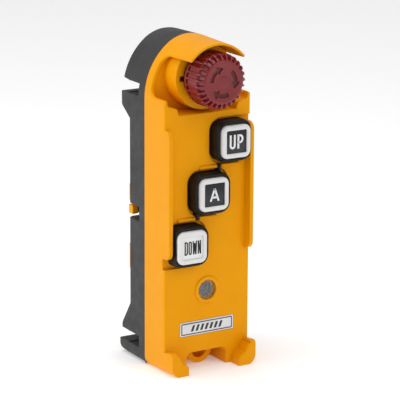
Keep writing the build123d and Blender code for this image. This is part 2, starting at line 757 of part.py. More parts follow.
def button_boot(x, z):
    """Rubber boot: a tapering rounded square with a well for the cap, flattened where a rail passes.

    The middle boot has two necks that cross the finger ribs and stop just short of its neighbours.
    """
    with BuildPart() as boot:
        with BuildSketch(facing(RELIEF_Y)):
            with Locations((x, z)):
                RectangleRounded(BOOT_SIZE, BOOT_SIZE, 7)
            centred_span(2 * (RAIL_INNER_X - 0.2), 0, HEIGHT, mode=Mode.INTERSECT)
        extrude(amount=RELIEF_Y - PANEL_Y)
        with BuildSketch(facing(PANEL_Y)):
            with Locations((x, z)):
                RectangleRounded(BOOT_SIZE, BOOT_SIZE, 7)
        extrude(amount=PANEL_Y - BOOT_FRONT_Y, taper=18)
        with BuildSketch(facing(0)):
            centred_span(2 * (RAIL_INNER_X - 0.2), 0, HEIGHT)
        extrude(amount=40, mode=Mode.INTERSECT)
        if x == 0:
            reach = (BOOT_SIZE + NECK_LENGTH) / 2 - 0.9
            with BuildSketch(facing(RELIEF_Y)):
                for neck_x, neck_z in BETWEEN_BUTTONS:
                    with Locations((neck_x, z + math.copysign(reach, neck_z - z))):
                        Rectangle(NECK_WIDTH, NECK_LENGTH)
            extrude(amount=RELIEF_Y - NECK_Y)
        with BuildSketch(facing(CAP_BACK_Y + BUTTON_TRAVEL + 0.2)):
            with Locations((x, z)):
                RectangleRounded(CAP_SIZE + 0.3, CAP_SIZE + 0.3, 3.95)
        extrude(amount=10, mode=Mode.SUBTRACT)
        with BuildSketch(facing(0)):
            with Locations((x, z)):
                Circle(STEM_R + 0.3)
        extrude(amount=40, mode=Mode.SUBTRACT)
    return boot.part


def button_cap(x, z):
    """Square cap with a recess for the legend and a socket for the stem."""
    with BuildPart() as cap:
        with BuildSketch(facing(CAP_BACK_Y)):
            with Locations((x, z)):
                RectangleRounded(CAP_SIZE, CAP_SIZE, 3.8)
        extrude(amount=CAP_BACK_Y - CAP_FRONT_Y)
        fillet(cap.faces().sort_by(Axis.Y)[0].edges(), 0.9)
        with BuildSketch(facing(LEGEND_FRONT_Y + 0.8)):
            with Locations((x, z)):
                Rectangle(LEGEND_SIZE + 0.1, LEGEND_SIZE + 0.1)
        extrude(amount=5, mode=Mode.SUBTRACT)
        with BuildSketch(facing(CAP_BACK_Y)):
            with Locations((x, z)):
                Circle(STEM_R)
        extrude(amount=2, mode=Mode.SUBTRACT)
    return cap.part


def legend(x, z):
    """Thin square insert that carries the button's symbol."""
    with BuildPart() as insert:
        with BuildSketch(facing(LEGEND_FRONT_Y + 0.8)):
            with Locations((x, z)):
                Rectangle(LEGEND_SIZE, LEGEND_SIZE)
        extrude(amount=0.8)
    return insert.part


def button_stem(x, z):
    """Stem from the cap to the switch, with a flange behind the panel that holds the button in."""
    socket_y = CAP_BACK_Y - 2
    with BuildPart() as stem:
        with BuildSketch(facing(STEM_TIP_Y)):
            with Locations((x, z)):
                Circle(STEM_R)
        extrude(amount=STEM_TIP_Y - socket_y)
        with BuildSketch(facing(PANEL_INNER_Y + 1.1)):
            with Locations((x, z)):
                Circle(4.0)
        extrude(amount=1.0)
    return stem.part


def switch_key(x, z):
    """The part of the tact switch that goes in when the stem presses it."""
    with BuildPart() as key:
        with BuildSketch(facing(-9.7)):
            with Locations((x, z)):
                Circle(1.75 - RUNNING)
        extrude(amount=-STEM_TIP_Y - 9.75)
    return key.part


for side, (x, z) in BUTTONS.items():
    save(button_boot(x, z), f"button_boot_{side}")
    save(button_cap(x, z), f"button_cap_{side}")
    save(legend(x, z), f"legend_{side}")
    save(button_stem(x, z), f"button_stem_{side}")
    save(switch_key(x, z), f"switch_key_{side}")


# ================= emergency stop =================

HUB_R = 5.0
HUB_BACK_Y = -26.1
HOLLOW_R = 12.6
HOLLOW_Y = -28.8
SOCKET_Y = -31.5
FLUTES = 30

with BuildPart() as estop_knob:
    with BuildSketch(RADIAL_PLANE):
        with BuildLine():
            Polyline(
                (0, KNOB_FRONT_Y),
                (KNOB_FACE_R, KNOB_FRONT_Y),
                (KNOB_R, KNOB_FRONT_Y + 2.8),
                (KNOB_R, KNOB_BACK_Y),
                (HOLLOW_R, KNOB_BACK_Y),
                (HOLLOW_R, HOLLOW_Y),
                (HUB_R, HOLLOW_Y),
                (HUB_R, HUB_BACK_Y),
                (SHAFT_R, HUB_BACK_Y),
                (SHAFT_R, SOCKET_Y),
                (0, SOCKET_Y),
                close=True,
            )
        make_face()
    revolve(axis=STOP_AXIS)
    with BuildSketch(facing(KNOB_BACK_Y - 2.2)):
        with Locations((0, STOP_Z)):
            with PolarLocations(KNOB_R + 0.3, FLUTES):
                Circle(0.8)
    extrude(amount=20, mode=Mode.SUBTRACT)
save(estop_knob.part, "estop_knob")


def turned(points):
    """Solid turned about the stop axis from (radius, y) points."""
    with BuildPart() as piece:
        with BuildSketch(RADIAL_PLANE):
            with BuildLine():
                Polyline(*points, close=True)
            make_face()
        revolve(axis=STOP_AXIS)
    return piece.part


def tube(inner_r, outer_r, y_front, y_back):
    """Plain ring about the stop axis."""
    return turned([(inner_r, y_front), (outer_r, y_front), (outer_r, y_back), (inner_r, y_back)])


estop_shaft = turned([(0, SOCKET_Y), (SHAFT_R, SOCKET_Y), (SHAFT_R, 4.2), (0, 4.2)])
save(estop_shaft, "estop_shaft")
save(tube(SHAFT_R, 5.2, -0.45, 0.35), "estop_circlip")
save(tube(SHAFT_R + RUNNING, SLEEVE_R, HUB_BACK_Y + 0.1, -0.5), "estop_latch_sleeve")
save(tube(BEZEL_TUBE_R + 0.15, BEZEL_RIM_R - 0.2, -5.3, POCKET_FLOOR_Y), "estop_seal")
estop_bezel = turned([
    (SLEEVE_R + RUNNING, -15.0),
    (BEZEL_TUBE_R, -15.0),
    (BEZEL_TUBE_R, -8.0),
    (BEZEL_FLANGE_R, -8.0),
    (BEZEL_FLANGE_R, BEZEL_FRONT_Y),
    (BEZEL_RIM_R, BEZEL_FRONT_Y),
    (BEZEL_RIM_R, -5.35),
    (BEZEL_TUBE_R, -5.35),
    (BEZEL_TUBE_R, 1.2),
    (SLEEVE_R + RUNNING, 1.2),
])
save(estop_bezel, "estop_bezel")
save(coil(7.6, 0.45, 2.9, 12.0, Plane(origin=(0, -28.1, STOP_Z), x_dir=(1, 0, 0), z_dir=(0, 1, 0))), "estop_spring")

with BuildPart() as estop_nut:
    with BuildSketch(facing(1.1)):
        with Locations((0, STOP_Z)):
            Circle(12)
            Circle(BEZEL_TUBE_R + RUNNING, mode=Mode.SUBTRACT)
            with PolarLocations(12, 6):
                Rectangle(2.4, 2.4, mode=Mode.SUBTRACT)
    extrude(amount=3.05)
save(estop_nut.part, "estop_nut")

with BuildPart() as estop_contact_block:
    with BuildSketch(facing(13.6)):
        with Locations((0, STOP_Z)):
            RectangleRounded(26, 24, 1.2)
    extrude(amount=12.0)
    with BuildSketch(facing(5.2)):
        with Locations((0, STOP_Z)):
            Circle(SLEEVE_R + 0.3)
    extrude(amount=10, mode=Mode.SUBTRACT)
    with BuildSketch(facing(11.0)):
        with Locations((0, STOP_Z)):
            Circle(SHAFT_R + 0.3)
    extrude(amount=20, mode=Mode.SUBTRACT)
save(estop_contact_block.part, "estop_contact_block")


def wire(points, radius):
    """Insulated wire through the given points."""
    with BuildPart() as one_wire:
        with BuildLine():
            path = Spline(*points)
        with BuildSketch(Plane(origin=path @ 0, z_dir=path % 0)):
            Circle(radius)
        sweep(path=path)
    return one_wire.part


with BuildPart() as estop_wires:
    for x in (-3.5, 3.5):
        add(wire([(x, 8, 147.6), (x, 5.5, 143), (x, 0.5, 138.2), (x, -4.7, 133.5)], 0.6))
save(estop_wires.part, "estop_wires")

with BuildPart() as battery_wires:
    for x in (-CELL_X, CELL_X):
        add(wire([(x, 7, 54.7), (x, 3, 52.6), (x, -1.5, 54), (x, -4.7, 58)], 0.6))
save(battery_wires.part, "battery_wires")
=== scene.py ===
import bmesh
import bpy
import json
import math
from mathutils import Matrix, Vector


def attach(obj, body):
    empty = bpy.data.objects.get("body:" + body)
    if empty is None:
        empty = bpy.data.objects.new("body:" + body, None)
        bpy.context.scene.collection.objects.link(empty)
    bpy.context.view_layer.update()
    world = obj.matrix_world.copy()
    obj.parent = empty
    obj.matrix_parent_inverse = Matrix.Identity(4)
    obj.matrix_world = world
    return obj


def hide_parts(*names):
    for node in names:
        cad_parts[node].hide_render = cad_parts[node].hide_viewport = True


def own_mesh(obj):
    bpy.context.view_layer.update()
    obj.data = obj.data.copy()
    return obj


# Looks for the cordless pendant control station. The object's lengths are in millimetres and scaled
# by MM; the floor, the lights and the camera are in metres. +X is right, the button face looks
# along -Y, +Z is up.

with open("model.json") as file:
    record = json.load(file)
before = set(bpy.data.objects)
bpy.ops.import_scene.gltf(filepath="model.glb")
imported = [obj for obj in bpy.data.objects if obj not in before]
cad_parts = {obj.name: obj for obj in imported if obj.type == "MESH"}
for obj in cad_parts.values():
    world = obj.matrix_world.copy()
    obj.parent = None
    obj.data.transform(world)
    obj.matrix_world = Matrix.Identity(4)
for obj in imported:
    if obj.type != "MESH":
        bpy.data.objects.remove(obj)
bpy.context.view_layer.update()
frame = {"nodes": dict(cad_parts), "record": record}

MM = 0.001
RELIEF_Y = -18.0
BUTTONS = {"up": (13.43, 125.7), "a": (0.0, 98.3), "down": (-13.43, 70.9)}
BOOT_SIZE = 24.6
BOOT_FRONT_Y = -26.3
RAIL_INNER_X = 23.0
CAP_SIZE = 18.0
CAP_FRONT_Y = -27.9
CAP_BACK_Y = -23.7
LEGEND_SIZE = 12.4
LEGEND_FRONT_Y = -27.3
STOP_Z = 160.4
LED_Z = 43.9
PLATE_Z = 23.3


# ================= materials =================

def srgb(red, green, blue):
    """Linear colour from 0-255 display values."""
    def channel(value):
        value = value / 255
        return value / 12.92 if value <= 0.04045 else ((value + 0.055) / 1.055) ** 2.4
    return (channel(red), channel(green), channel(blue), 1.0)


def add_node(tree, kind, **settings):
    """New shader node; settings name its properties or inputs."""
    node = tree.nodes.new(kind)
    for key, value in settings.items():
        if hasattr(node, key):
            setattr(node, key, value)
        else:
            node.inputs[key.replace("_", " ")].default_value = value
    return node


def noise(tree, coords, scale, detail=4.0):
    """Noise between 0 and 1, at a number of features per metre."""
    node = add_node(tree, "ShaderNodeTexNoise")
    node.inputs["Scale"].default_value = scale
    node.inputs["Detail"].default_value = detail
    node.inputs["Roughness"].default_value = 0.55
    tree.links.new(coords, node.inputs["Vector"])
    return node.outputs["Fac"]


def ramp(tree, value, from_low, from_high, to_low, to_high):
    """Maps one range of values onto another."""
    node = tree.nodes.new("ShaderNodeMapRange")
    for name, number in (
        ("From Min", from_low),
        ("From Max", from_high),
        ("To Min", to_low),
        ("To Max", to_high),
    ):
        node.inputs[name].default_value = number
    tree.links.new(value, node.inputs["Value"])
    return node.outputs["Result"]


def mix_colour(tree, factor, first, second):
    """Blend of two colours; each value is a number, a colour or the output of another node."""
    node = tree.nodes.new("ShaderNodeMix")
    node.data_type = "RGBA"
    for socket, value in (("Factor", factor), ("A", first), ("B", second)):
        target = [entry for entry in node.inputs if entry.name == socket and entry.enabled][0]
        if isinstance(value, (tuple, float, int)):
            target.default_value = value
        else:
            tree.links.new(value, target)
    return [entry for entry in node.outputs if entry.enabled][0]


WORN_EDGE_RADIUS = 0.8
WORN_PATCH_SCALE = 400.0
GLOSS_SCALE = 180.0
COAT_ROUGHNESS = 0.12


def surface(
    name,
    colour,
    shade=None,
    roughness=(0.35, 0.5),
    grain_scale=2500.0,
    grain_depth=0.03,
    mottle_scale=60.0,
    mottle=0.12,
    edge_radius=0.35,
    wear=0.0,
    wear_colour=(1, 1, 1, 1),
    coat=0.0,
    metallic=0.0,
    specular=0.5,
    specular_tint=(1, 1, 1, 1),
    glow=0.0,
):
    """Moulded or machined surface: mottled colour, uneven gloss, fine grain, rounded and worn edges.

    Sizes are in millimetres; scales are features per metre.
    """
    material = bpy.data.materials.new(name)
    material.use_nodes = True
    tree = material.node_tree
    shader = tree.nodes["Principled BSDF"]
    coords = tree.nodes.new("ShaderNodeTexCoord").outputs["Object"]
    shade = shade or tuple(0.82 * c for c in colour[:3]) + (1.0,)
    blotches = noise(tree, coords, mottle_scale, 5.0)
    tint = mix_colour(tree, ramp(tree, blotches, 0.3, 0.7, 0.0, mottle), colour, shade)
    if wear:
        rounded = add_node(tree, "ShaderNodeBevel", samples=4)
        rounded.inputs["Radius"].default_value = WORN_EDGE_RADIUS * MM
        geometry = tree.nodes.new("ShaderNodeNewGeometry")
        dot = add_node(tree, "ShaderNodeVectorMath", operation="DOT_PRODUCT")
        tree.links.new(rounded.outputs["Normal"], dot.inputs[0])
        tree.links.new(geometry.outputs["Normal"], dot.inputs[1])
        worn = ramp(tree, dot.outputs["Value"], 0.97, 0.80, 0.0, wear)
        patchy = add_node(tree, "ShaderNodeMath", operation="MULTIPLY")
        tree.links.new(worn, patchy.inputs[0])
        patches = noise(tree, coords, WORN_PATCH_SCALE)
        tree.links.new(ramp(tree, patches, 0.4, 0.62, 0.0, 1.0), patchy.inputs[1])
        tint = mix_colour(tree, patchy.outputs["Value"], tint, wear_colour)
    tree.links.new(tint, shader.inputs["Base Color"])
    gloss = noise(tree, coords, GLOSS_SCALE, 3.0)
    tree.links.new(ramp(tree, gloss, 0.3, 0.7, *roughness), shader.inputs["Roughness"])
    grain = add_node(tree, "ShaderNodeBump")
    grain.inputs["Strength"].default_value = 1.0
    grain.inputs["Distance"].default_value = grain_depth * MM
    tree.links.new(noise(tree, coords, grain_scale, 3.0), grain.inputs["Height"])
    if edge_radius:
        soft = add_node(tree, "ShaderNodeBevel", samples=6)
        soft.inputs["Radius"].default_value = edge_radius * MM
        tree.links.new(soft.outputs["Normal"], grain.inputs["Normal"])
    tree.links.new(grain.outputs["Normal"], shader.inputs["Normal"])
    shader.inputs["Metallic"].default_value = metallic
    shader.inputs["Specular IOR Level"].default_value = specular
    shader.inputs["Specular Tint"].default_value = specular_tint
    shader.inputs["Emission Color"].default_value = (1, 1, 1, 1)
    shader.inputs["Emission Strength"].default_value = glow
    shader.inputs["Coat Weight"].default_value = coat
    shader.inputs["Coat Roughness"].default_value = COAT_ROUGHNESS
    return material


def clear_plastic(name, colour, roughness):
    """Clear moulded lens with faint ripples."""
    material = bpy.data.materials.new(name)
    material.use_nodes = True
    tree = material.node_tree
    shader = tree.nodes["Principled BSDF"]
    coords = tree.nodes.new("ShaderNodeTexCoord").outputs["Object"]
    shader.inputs["Transmission Weight"].default_value = 0.93
    shader.inputs["IOR"].default_value = 1.46
    haze = noise(tree, coords, 300.0)
    tree.links.new(ramp(tree, haze, 0.3, 0.7, roughness, roughness + 0.12), shader.inputs["Roughness"])
    tree.links.new(mix_colour(tree, haze, colour, (1, 1, 1, 1)), shader.inputs["Base Color"])
    ripple = add_node(tree, "ShaderNodeBump")
    ripple.inputs["Distance"].default_value = 0.02 * MM
    tree.links.new(noise(tree, coords, 900.0), ripple.inputs["Height"])
    tree.links.new(ripple.outputs["Normal"], shader.inputs["Normal"])
    return material


MATERIALS = {
    "yellow_plastic": surface(
        "yellow_plastic", srgb(240, 160, 0), srgb(230, 146, 0), roughness=(0.40, 0.52),
        mottle=0.35, grain_scale=1800, grain_depth=0.02, edge_radius=0.6, wear=0.10,
        wear_colour=srgb(255, 190, 40), specular=0.28, specular_tint=(1.0, 0.72, 0.25, 1.0),
    ),
    "grey_plastic": surface(
        "grey_plastic", srgb(58, 57, 58), srgb(47, 46, 47), roughness=(0.5, 0.68), mottle=0.8,
        grain_scale=1500, grain_depth=0.05, edge_radius=0.7, wear=0.5, wear_colour=srgb(92, 91, 92),
        specular=0.35,
    ),
    "red_plastic": surface(
        "red_plastic", srgb(128, 6, 18), srgb(106, 4, 13), roughness=(0.3, 0.42), mottle=0.5,
        grain_scale=900, grain_depth=0.006, edge_radius=0.18, coat=0.25,
    ),
    # darker red for the engraved arrows on the knob: painted shade standing in for the shade in their
    # recesses
    "red_arrow_painted_shade": surface(
        "red_arrow_painted_shade", srgb(92, 4, 12), srgb(70, 2, 8), roughness=(0.35, 0.5), mottle=0.6,
        grain_scale=1400, grain_depth=0.03, edge_radius=0.1,
    ),
    "black_rubber": surface(
        "black_rubber", srgb(14, 14, 15), srgb(9, 9, 10), roughness=(0.46, 0.62), mottle=0.8,
        grain_scale=2600, grain_depth=0.02, edge_radius=0.3, specular=0.3,
    ),
    "white_plastic": surface(
        "white_plastic", srgb(228, 228, 228), srgb(216, 215, 212), roughness=(0.25, 0.36), mottle=0.5,
        grain_scale=900, grain_depth=0.006, edge_radius=0.2, coat=0.15,
    ),
    "dark_legend": surface(
        "dark_legend", srgb(28, 31, 38), srgb(22, 24, 30), roughness=(0.3, 0.42), mottle=0.6,
        grain_scale=2200, grain_depth=0.008, edge_radius=0.1,
    ),
    "light_legend": surface(
        "light_legend", srgb(236, 237, 238), srgb(224, 224, 224), roughness=(0.3, 0.42), mottle=0.5,
        grain_scale=2200, grain_depth=0.008, edge_radius=0.1,
    ),
    "spacer_plastic": surface(
        "spacer_plastic", srgb(112, 100, 84), roughness=(0.4, 0.55), mottle=0.5, grain_depth=0.01,
    ),
    "plate_metal": surface(
        "plate_metal", srgb(226, 227, 228), srgb(205, 206, 208), roughness=(0.28, 0.4), mottle=0.5,
        grain_scale=3000, grain_depth=0.006, edge_radius=0.1, metallic=0.25,
    ),
    "plate_ink": surface(
        "plate_ink", srgb(30, 30, 32), srgb(46, 46, 48), roughness=(0.35, 0.5), mottle=0.6,
        edge_radius=0.05,
    ),
    "black_plastic": surface(
        "black_plastic", srgb(32, 32, 34), srgb(24, 24, 25), roughness=(0.4, 0.55), mottle=0.6,
        edge_radius=0.2,
    ),
    "steel": surface(
        "steel", srgb(188, 189, 192), srgb(160, 161, 164), roughness=(0.22, 0.36), mottle=0.6,
        metallic=1.0, grain_scale=2200, grain_depth=0.01, edge_radius=0.15,
    ),
    "brass": surface(
        "brass", srgb(214, 176, 98), srgb(190, 148, 74), roughness=(0.24, 0.38), mottle=0.6,
        metallic=1.0, grain_depth=0.01, edge_radius=0.15,
    ),
    "tinned_can": surface(
        "tinned_can", srgb(196, 197, 200), srgb(176, 176, 180), roughness=(0.28, 0.42), mottle=0.7,
        metallic=1.0, grain_depth=0.01, edge_radius=0.2,
    ),
    "copper_wire": surface(
        "copper_wire", srgb(206, 120, 66), srgb(178, 96, 48), roughness=(0.22, 0.34), mottle=0.6,
        metallic=1.0, grain_depth=0.005, edge_radius=0.1,
    ),
    "board": surface(
        "board", srgb(22, 96, 48), srgb(16, 76, 38), roughness=(0.3, 0.42), mottle=0.7,
        mottle_scale=240, grain_scale=1400, grain_depth=0.02, edge_radius=0.15,
    ),
    "cell_wrap": surface(
        "cell_wrap", srgb(52, 54, 60), srgb(190, 130, 52), roughness=(0.22, 0.34), mottle=0.3,
        mottle_scale=30, grain_depth=0.005, edge_radius=0.3, coat=0.3,
    ),
    "wire_sleeve": surface(
        "wire_sleeve", srgb(160, 24, 26), srgb(130, 16, 20), roughness=(0.35, 0.48), mottle=0.6,
        grain_depth=0.01, edge_radius=0.1,
    ),
    "light_ink": surface(
        "light_ink", srgb(240, 240, 240), srgb(226, 226, 226), roughness=(0.35, 0.45), mottle=0.5,
        edge_radius=0.03,
    ),
    "clear_lens": clear_plastic("clear_lens", srgb(225, 226, 222), 0.08),
}


def paint(obj, material_name):
    """Gives an object one material."""
    obj.data.materials.clear()
    obj.data.materials.append(MATERIALS[material_name])


def fit_to_frame(piece, body, slot, replaces=None, material=None):
    """Paints a piece, ties it to its body, and hides the CAD part whose place it takes."""
    paint(piece, material or slot)
    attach(piece, body)
    if replaces:
        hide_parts(replaces)


SLOT_OF_NODE = {part["node"]: part["material_slot"] for part in frame["record"]["subparts"]}
for node_name, cad_object in frame["nodes"].items():
    paint(cad_object, SLOT_OF_NODE[node_name])


# ================= mesh helpers =================

WELD_DISTANCE = 1e-7


def mesh_object(name, vertices, faces, smooth=True, weld=True):
    """Mesh from millimetre vertices, with its faces turned outwards."""
    mesh = bpy.data.meshes.new(name)
    mesh.from_pydata([tuple(c * MM for c in v) for v in vertices], [], faces)
    mesh.validate()
    obj = bpy.data.objects.new(name, mesh)
    bpy.context.scene.collection.objects.link(obj)
    body = bmesh.new()
    body.from_mesh(mesh)
    if weld:
        bmesh.ops.remove_doubles(body, verts=body.verts, dist=WELD_DISTANCE)
    bmesh.ops.recalc_face_normals(body, faces=body.faces)
    body.to_mesh(mesh)
    body.free()
    for polygon in mesh.polygons:
        polygon.use_smooth = smooth
    return obj


def sharpen(obj, degrees=40):
    """Smooth shading that keeps edges above an angle crisp."""
    limit = math.radians(degrees)
    body = bmesh.new()
    body.from_mesh(obj.data)
    for edge in body.edges:
        if len(edge.link_faces) == 2:
            edge.smooth = edge.calc_face_angle(0) < limit
    body.to_mesh(obj.data)
    body.free()


def rounded_rectangle(width, height, radius, steps=8):
    """Closed loop of (x, z) points, anticlockwise, centred on zero."""
    half_x = width / 2 - radius
    half_z = height / 2 - radius
    corners = (
        (half_x, half_z, 0),
        (-half_x, half_z, 90),
        (-half_x, -half_z, 180),
        (half_x, -half_z, 270),
    )
    loop = []
    for corner_x, corner_z, start in corners:
        for step in range(steps + 1):
            angle = math.radians(start + 90 * step / steps)
            loop.append((corner_x + radius * math.cos(angle), corner_z + radius * math.sin(angle)))
    return loop


def lofted(name, rings, cap_ends=True, smooth=True):
    """Surface through rings of (x, y, z) points, closed round each ring and capped at both ends."""
    count = len(rings[0])
    vertices = [point for ring in rings for point in ring]
    faces = []
    for row in range(len(rings) - 1):
        near, far = row * count, (row + 1) * count
        for i in range(count):
            j = (i + 1) % count
            faces.append((near + i, near + j, far + j, far + i))
    if cap_ends:
        faces.append(tuple(range(count)))
        faces.append(tuple((len(rings) - 1) * count + i for i in reversed(range(count))))
    return mesh_object(name, vertices, faces, smooth)


def layered(name, layers, x, z, **options):
    """Surface through (loop, y) layers, with every loop centred on (x, z)."""
    rings = [[(x + u, y, z + v) for u, v in loop] for loop, y in layers]
    return lofted(name, rings, **options)


# ================= button boots =================

# (inset from the boot's edge, y, corner radius) from the foot over the shoulder down into the well
BOOT_PROFILE = (
    (0.95, RELIEF_Y + 0.02, 6.3),
    (0.95, -20.0, 6.3),
    (1.0, -22.5, 6.25),
    (1.1, -24.2, 6.2),
    (1.3, -25.1, 6.0),
    (1.6, -25.75, 5.7),
    (2.0, -26.15, 5.3),
    (2.45, BOOT_FRONT_Y, 4.9),
    (2.8, -26.15, 4.6),
    (2.97, -25.8, 4.4),
    (3.02, -25.2, 4.3),
    (3.06, -23.0, 4.25),
    (3.10, -21.4, 4.2),
    (3.6, -21.3, 3.8),
    (9.7, -21.3, 2.2),
)


def make_boot(name, x, z):
    """Rubber boot: straight side, rounded shoulder and a well round the cap, cut flat at the rails."""
    rings = []
    for inset, y, radius in BOOT_PROFILE:
        size = BOOT_SIZE - 2 * inset
        loop = rounded_rectangle(size, size, radius)
        rings.append([(max(-RAIL_INNER_X, min(RAIL_INNER_X, x + u)), y, z + v) for u, v in loop])
    boot = lofted(name, rings)
    sharpen(boot)
    return boot


NECK_HALF_WIDTH = 1.1
NECK_SHOULDER_Y = -20.4
NECK_CROWN = 0.9
NECK_ROOT = 1.6
NECK_REACH = 2.3
NECK_CROWN_ANGLES = (0.5, 1.0, 1.57, 2.14, 2.64)


def add_necks(boot):
    """Two rounded rubber bridges from the middle boot across the finger ribs to its neighbours."""
    arch = [(-NECK_HALF_WIDTH, RELIEF_Y), (-NECK_HALF_WIDTH, NECK_SHOULDER_Y)]
    for angle in NECK_CROWN_ANGLES:
        arch.append((-NECK_HALF_WIDTH * math.cos(angle), NECK_SHOULDER_Y - NECK_CROWN * math.sin(angle)))
    arch += [(NECK_HALF_WIDTH, NECK_SHOULDER_Y), (NECK_HALF_WIDTH, RELIEF_Y)]
    middle_z = BUTTONS["a"][1]
    body = bmesh.new()
    body.from_mesh(boot.data)
    for side, direction in (("up", 1), ("down", -1)):
        neck_x = BUTTONS[side][0] / 2
        start = middle_z + direction * (BOOT_SIZE / 2 - NECK_ROOT)
        stop = middle_z + direction * (BOOT_SIZE / 2 + NECK_REACH)
        near = [body.verts.new(Vector((neck_x + u, y, start)) * MM) for u, y in arch]
        far = [body.verts.new(Vector((neck_x + u, y, stop)) * MM) for u, y in arch]
        for i in range(len(arch)):
            j = (i + 1) % len(arch)
            body.faces.new((near[i], near[j], far[j], far[i])).smooth = True
        body.faces.new(near)
        body.faces.new(list(reversed(far)))
    bmesh.ops.recalc_face_normals(body, faces=body.faces)
    body.to_mesh(boot.data)
    body.free()


# ================= button caps and legends =================

# (inset from the cap's edge, y, corner radius) from the back over the front rim into the recess
CAP_PROFILE = (
    (0.35, CAP_BACK_Y, 3.5),
    (0.0, CAP_BACK_Y - 0.4, 3.8),
    (0.0, CAP_FRONT_Y + 1.3, 3.8),
    (0.12, CAP_FRONT_Y + 0.75, 3.7),
    (0.42, CAP_FRONT_Y + 0.32, 3.45),
    (0.85, CAP_FRONT_Y + 0.08, 3.1),
    (1.35, CAP_FRONT_Y, 2.7),
    (2.35, CAP_FRONT_Y, 1.6),
    (2.62, CAP_FRONT_Y + 0.1, 0.9),
    (2.75, CAP_FRONT_Y + 0.3, 0.6),
    (2.76, LEGEND_FRONT_Y + 0.35, 0.5),
)

LEGEND_CORNER_R = 0.4

# (inset from the legend's edge, y) from the back to the front
LEGEND_PROFILE = (
    (0.05, LEGEND_FRONT_Y + 0.8),
    (0.0, LEGEND_FRONT_Y + 0.7),
    (0.0, LEGEND_FRONT_Y + 0.1),
    (0.1, LEGEND_FRONT_Y),
)


def make_cap(name, x, z):
    """Square white cap: rounded sides, a soft front rim and a square recess for the legend."""
    layers = []
    for inset, y, radius in CAP_PROFILE:
        size = CAP_SIZE - 2 * inset
        layers.append((rounded_rectangle(size, size, radius), y))
    cap = layered(name, layers, x, z)
    sharpen(cap)
    return cap


def make_legend(name, x, z):
    """Square insert with a slightly rounded rim."""
    layers = []
    for inset, y in LEGEND_PROFILE:
        size = LEGEND_SIZE - 2 * inset
        layers.append((rounded_rectangle(size, size, LEGEND_CORNER_R, steps=3), y))
    insert = layered(name, layers, x, z)
    sharpen(insert)
    return insert


# ================= letters on the legends =================

PRINT_HEIGHT = 0.06
PRINT_ROOT = 0.05
SHARPEST_MITRE = 0.35
CLOSED_LETTERS = "DO"


def stroke(points, width, closed):
    """Left and right edges of a flat band of a given width along a line of (x, z) points."""
    left, right = [], []
    count = len(points)
    for i, (px, pz) in enumerate(points):
        before = points[i - 1] if closed or i else points[i]
        after = points[(i + 1) % count] if closed or i < count - 1 else points[i]
        if closed or 0 < i < count - 1:
            in_x, in_z = px - before[0], pz - before[1]
            out_x, out_z = after[0] - px, after[1] - pz
            in_length, out_length = math.hypot(in_x, in_z), math.hypot(out_x, out_z)
            normal_x = -(in_z / in_length + out_z / out_length)
            normal_z = in_x / in_length + out_x / out_length
            length = math.hypot(normal_x, normal_z) or 1.0
            normal_x, normal_z = normal_x / length, normal_z / length
            mitre = max(SHARPEST_MITRE, (normal_z * in_x - normal_x * in_z) / in_length)
            normal_x, normal_z = normal_x / mitre, normal_z / mitre
        else:
            run_x, run_z = after[0] - before[0], after[1] - before[1]
            length = math.hypot(run_x, run_z)
            normal_x, normal_z = -run_z / length, run_x / length
        left.append((px + normal_x * width / 2, pz + normal_z * width / 2))
        right.append((px - normal_x * width / 2, pz - normal_z * width / 2))
    return left, right


def arc(centre_x, centre_z, radius_x, radius_z, start, stop, steps=8):
    """Points on an elliptical arc, angles in degrees."""
    points = []
    for step in range(steps + 1):
        angle = math.radians(start + (stop - start) * step / steps)
        points.append((centre_x + radius_x * math.cos(angle), centre_z + radius_z * math.sin(angle)))
    return points


def letter_strokes(letter, width, height, weight):
    """Centre lines of a block letter in a box that starts at zero."""
    inset = weight / 2
    left, right, low, high = inset, width - inset, inset, height - inset
    middle = width / 2
    bow = (right - left) / 2
    if letter == "U":
        bowl = arc(middle, low + bow, bow, bow, 180, 360)
        return [[(left, height), (left, low + bow)] + bowl[1:] + [(right, height)]]
    if letter == "P":
        waist = height * 0.44
        bowl_z = (high - waist) / 2
        bowl_x = bowl_z * 0.8
        bowl = arc(right - bowl_x, waist + bowl_z, bowl_x, bowl_z, 90, -90)
        square_corner = [(left, high), (left + 0.01, high)]
        return [[(left, 0)] + square_corner + bowl + [(left, waist)]]
    if letter == "A":
        splay = inset * 0.6
        apex = (middle, height - inset * 0.4)
        bar_z = height * 0.3
        return [
            [(left - splay, 0), apex],
            [apex, (right + splay, 0)],
            [(width * 0.24, bar_z), (width * 0.76, bar_z)],
        ]
    if letter == "D":
        bend = bow * 0.9
        upper = arc(right - bend, high - bend, bend, bend, 90, 0, 5)
        lower = arc(right - bend, low + bend, bend, bend, 0, -90, 5)
        return [[(left, low), (left, high)] + upper + lower]
    if letter == "O":
        upper = arc(middle, high - bow, bow, bow, 0, 180)
        lower = arc(middle, low + bow, bow, bow, 180, 360)
        return [upper + lower]
    if letter == "W":
        first_foot, second_foot = (width * 0.28, 0), (width * 0.72, 0)
        peak = (middle, height * 0.85)
        return [
            [(left, height), first_foot],
            [first_foot, peak],
            [peak, second_foot],
            [second_foot, (right, height)],
        ]
    if letter == "N":
        return [[(left, 0), (left, height)], [(left, height), (right, 0)], [(right, 0), (right, height)]]
    raise ValueError(letter)


